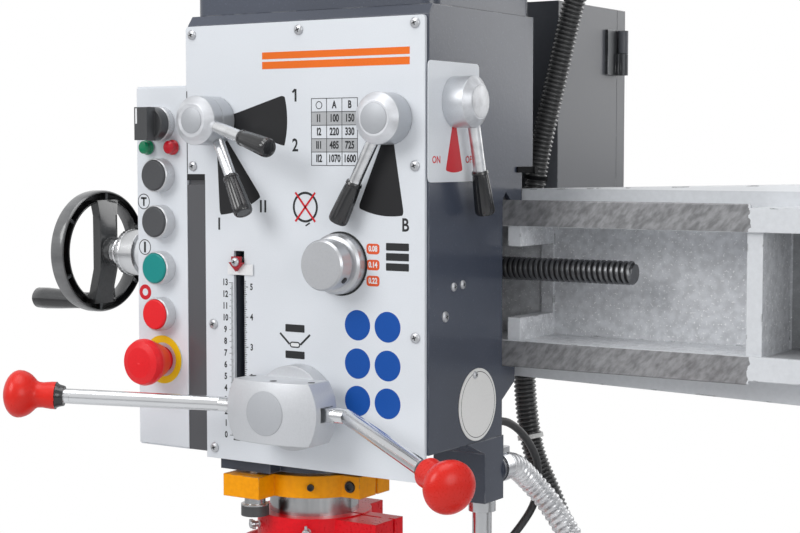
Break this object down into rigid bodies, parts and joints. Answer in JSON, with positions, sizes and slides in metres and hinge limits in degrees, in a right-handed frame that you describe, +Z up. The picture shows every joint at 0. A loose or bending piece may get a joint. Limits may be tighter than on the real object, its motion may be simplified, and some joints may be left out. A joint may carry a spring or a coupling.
{
  "type": "radial arm drill",
  "caption": "Radial arm drilling machine: slotted base, round column with a swinging, lifting arm, and a drilling head that traverses on the arm with feed handles and speed selectors.",
  "frame": {"origin": "on the column's axis at the floor under the base", "axes": "+Z up along the column, -X along the arm towards the drilling head, -Y towards the operator"},
  "size_m": [1.285, 0.5686, 1.7],
  "materials": {
    "cast_paint": "hammered enamel",
    "motor_paint": "satin enamel",
    "arm_paint": "enamel, machined rails",
    "panel_paint": "satin powder coat",
    "column_steel": "ground",
    "bright_steel": "machined",
    "dark_steel": "oiled",
    "black_metal": "satin",
    "chrome": "polished",
    "satin_metal": "satin",
    "bronze": "machined",
    "gib_iron": "scraped",
    "yellow_paint": "satin enamel",
    "red_paint": "gloss enamel",
    "red_plastic": "gloss",
    "green_plastic": "gloss",
    "lamp_plastic": "clear",
    "grey_plastic": "satin",
    "black_plastic": "satin",
    "black_rubber": "satin",
    "hose_plastic": "braid reinforced"
  },
  "bodies": {
    "base": {"base_plate": "cast_paint", "column_foot": "cast_paint", "column": "column_steel"},
    "cap": {"column_cap": "cast_paint", "lift_motor": "motor_paint"},
    "lift_screw": {"lift_screw": "bright_steel"},
    "arm": {"arm": "arm_paint", "lift_nut": "bronze", "screw_bracket": "arm_paint"},
    "arm_clamp": {"clamp_lever": "black_metal"},
    "head": {"head_casting": "cast_paint", "gib_strip": "gib_iron", "traverse_nut": "bronze", "top_cover": "cast_paint", "front_plate": "panel_paint", "control_box": "panel_paint", "control_bezels": "satin_metal", "pilot_lamps": "lamp_plastic", "spindle_motor": "motor_paint", "terminal_box": "cast_paint", "cabinet": "cast_paint", "cabinet_hinges": "bright_steel", "coolant_block": "cast_paint", "coolant_pipe": "chrome", "cord_fittings": "bright_steel", "conduit": "black_rubber", "coolant_hose": "hose_plastic", "switch_cable": "black_rubber"},
    "quill": {"quill": "bright_steel", "depth_collar": "yellow_paint", "depth_rod": "bright_steel", "guard_ring": "red_paint", "quill_bearings": "bright_steel"},
    "spindle": {"spindle": "bright_steel"},
    "guard": {"chip_guard": "red_paint"},
    "feed_hub": {"feed_hub": "satin_metal", "pinion_shaft": "bright_steel"},
    "feed_left": {"feed_arm_left": "chrome", "feed_knob_left": "red_plastic"},
    "feed_right": {"feed_arm_right": "chrome", "feed_knob_right": "red_plastic"},
    "range_selector": {"range_lever": "satin_metal", "range_grip": "black_plastic"},
    "gear_selector": {"gear_lever": "satin_metal", "gear_grip": "black_plastic"},
    "speed_selector": {"speed_lever": "satin_metal", "speed_grip": "black_plastic"},
    "feed_selector": {"feed_lever": "satin_metal", "feed_grip": "black_plastic"},
    "traverse_wheel": {"handwheel": "black_plastic", "traverse_screw": "dark_steel"},
    "crank": {"crank_grip": "black_plastic"},
    "dial": {"feed_dial": "satin_metal"},
    "mode": {"mode_switch": "black_plastic"},
    "tapping": {"tapping_button": "grey_plastic"},
    "jog": {"jog_button": "grey_plastic"},
    "start": {"start_button": "green_plastic"},
    "stop": {"stop_button": "red_plastic"},
    "estop": {"estop_button": "red_plastic"},
    "door": {"cabinet_door": "cast_paint"}
  },
  "joints": [
    {"name": "arm_swing", "type": "hinge", "parent": "base", "child": "cap", "pos_m": [0, 0, 1.4], "axis": [0, 0, 1], "range_deg": [-180, 180]},
    {"name": "arm_lift", "type": "slide", "parent": "cap", "child": "arm", "axis": [0, 0, 1], "range_m": [-0.45, 0.14]},
    {"name": "lift_screw_turn", "type": "hinge", "parent": "cap", "child": "lift_screw", "pos_m": [0, 0.168, 1.4], "axis": [0, 0, 1], "range_deg": [-8450, 27050]},
    {"name": "clamp_turn", "type": "hinge", "parent": "arm", "child": "arm_clamp", "pos_m": [0.154, -0.07, 1.051], "axis": [0, 1, 0], "range_deg": [0, 60]},
    {"name": "head_traverse", "type": "slide", "parent": "arm", "child": "head", "axis": [1, 0, 0], "range_m": [-0.15, 0.215], "deforming": ["conduit", "coolant_hose"]},
    {"name": "handwheel_turn", "type": "hinge", "parent": "arm", "child": "traverse_wheel", "pos_m": [-0.958, -0.015, 1.062], "axis": [1, 0, 0], "range_deg": [-15500, 10850]},
    {"name": "crank_grip_spin", "type": "hinge", "parent": "traverse_wheel", "child": "crank", "pos_m": [-1.005, -0.015, 1.011], "axis": [1, 0, 0], "continuous": true},
    {"name": "feed_turn", "type": "hinge", "parent": "head", "child": "feed_hub", "pos_m": [-0.6, -0.18, 0.952], "axis": [0, 1, 0], "range_deg": [-709.4, 0]},
    {"name": "quill_feed", "type": "slide", "parent": "head", "child": "quill", "axis": [0, 0, 1], "range_m": [-0.131, 0], "stiffness_N_per_m": 700, "springref_m": 0.3, "deforming": ["switch_cable"]},
    {"name": "feed_engage_left", "type": "hinge", "parent": "feed_hub", "child": "feed_left", "pos_m": [-0.63, -0.186, 0.952], "axis": [0, 0, 1], "range_deg": [0, 10]},
    {"name": "feed_engage_right", "type": "hinge", "parent": "feed_hub", "child": "feed_right", "pos_m": [-0.57, -0.186, 0.952], "axis": [0, 0, 1], "range_deg": [-10, 0]},
    {"name": "spindle_spin", "type": "hinge", "parent": "quill", "child": "spindle", "pos_m": [-0.64, -0.086, 0.84], "axis": [0, 0, 1], "continuous": true},
    {"name": "guard_swing", "type": "hinge", "parent": "quill", "child": "guard", "pos_m": [-0.566, -0.086, 0.82], "axis": [0, 0, 1], "range_deg": [0, 100]},
    {"name": "range_turn", "type": "hinge", "parent": "head", "child": "range_selector", "pos_m": [-0.688, -0.1662, 1.187], "axis": [0, 1, 0], "range_deg": [0, 31]},
    {"name": "gear_turn", "type": "hinge", "parent": "head", "child": "gear_selector", "pos_m": [-0.688, -0.18, 1.187], "axis": [0, 1, 0], "range_deg": [-30, 0]},
    {"name": "speed_turn", "type": "hinge", "parent": "head", "child": "speed_selector", "pos_m": [-0.512, -0.171, 1.187], "axis": [0, 1, 0], "range_deg": [-41, 0]},
    {"name": "feed_switch_turn", "type": "hinge", "parent": "head", "child": "feed_selector", "pos_m": [-0.463, -0.119, 1.2005], "axis": [1, 0, 0], "range_deg": [-30, 0]},
    {"name": "feed_dial_turn", "type": "hinge", "parent": "head", "child": "dial", "pos_m": [-0.56, -0.174, 1.071], "axis": [0, 1, 0], "range_deg": [-30, 30]},
    {"name": "mode_turn", "type": "hinge", "parent": "head", "child": "mode", "pos_m": [-0.748, -0.174, 1.185], "axis": [0, 1, 0], "range_deg": [-45, 45]},
    {"name": "tapping_push", "type": "slide", "parent": "head", "child": "tapping", "axis": [0, 1, 0], "range_m": [0, 0.004], "stiffness_N_per_m": 500},
    {"name": "jog_push", "type": "slide", "parent": "head", "child": "jog", "axis": [0, 1, 0], "range_m": [0, 0.004], "stiffness_N_per_m": 500},
    {"name": "start_push", "type": "slide", "parent": "head", "child": "start", "axis": [0, 1, 0], "range_m": [0, 0.004], "stiffness_N_per_m": 500},
    {"name": "stop_push", "type": "slide", "parent": "head", "child": "stop", "axis": [0, 1, 0], "range_m": [0, 0.004], "stiffness_N_per_m": 500},
    {"name": "estop_push", "type": "slide", "parent": "head", "child": "estop", "axis": [0, 1, 0], "range_m": [0, 0.005]},
    {"name": "door_swing", "type": "hinge", "parent": "head", "child": "door", "pos_m": [-0.4805, 0.196, 1.154], "axis": [0, 0, -1], "range_deg": [0, 110]}
  ],
  "couplings": [
    {"joint": "lift_screw_turn", "follows": "arm_lift", "rad_per_m": -1047.2},
    {"joint": "handwheel_turn", "follows": "head_traverse", "rad_per_m": -1256.6},
    {"joint": "quill_feed", "follows": "feed_turn", "m_per_rad": 0.0105},
    {"joint": "feed_engage_right", "follows": "feed_engage_left", "ratio": -1}
  ]
}
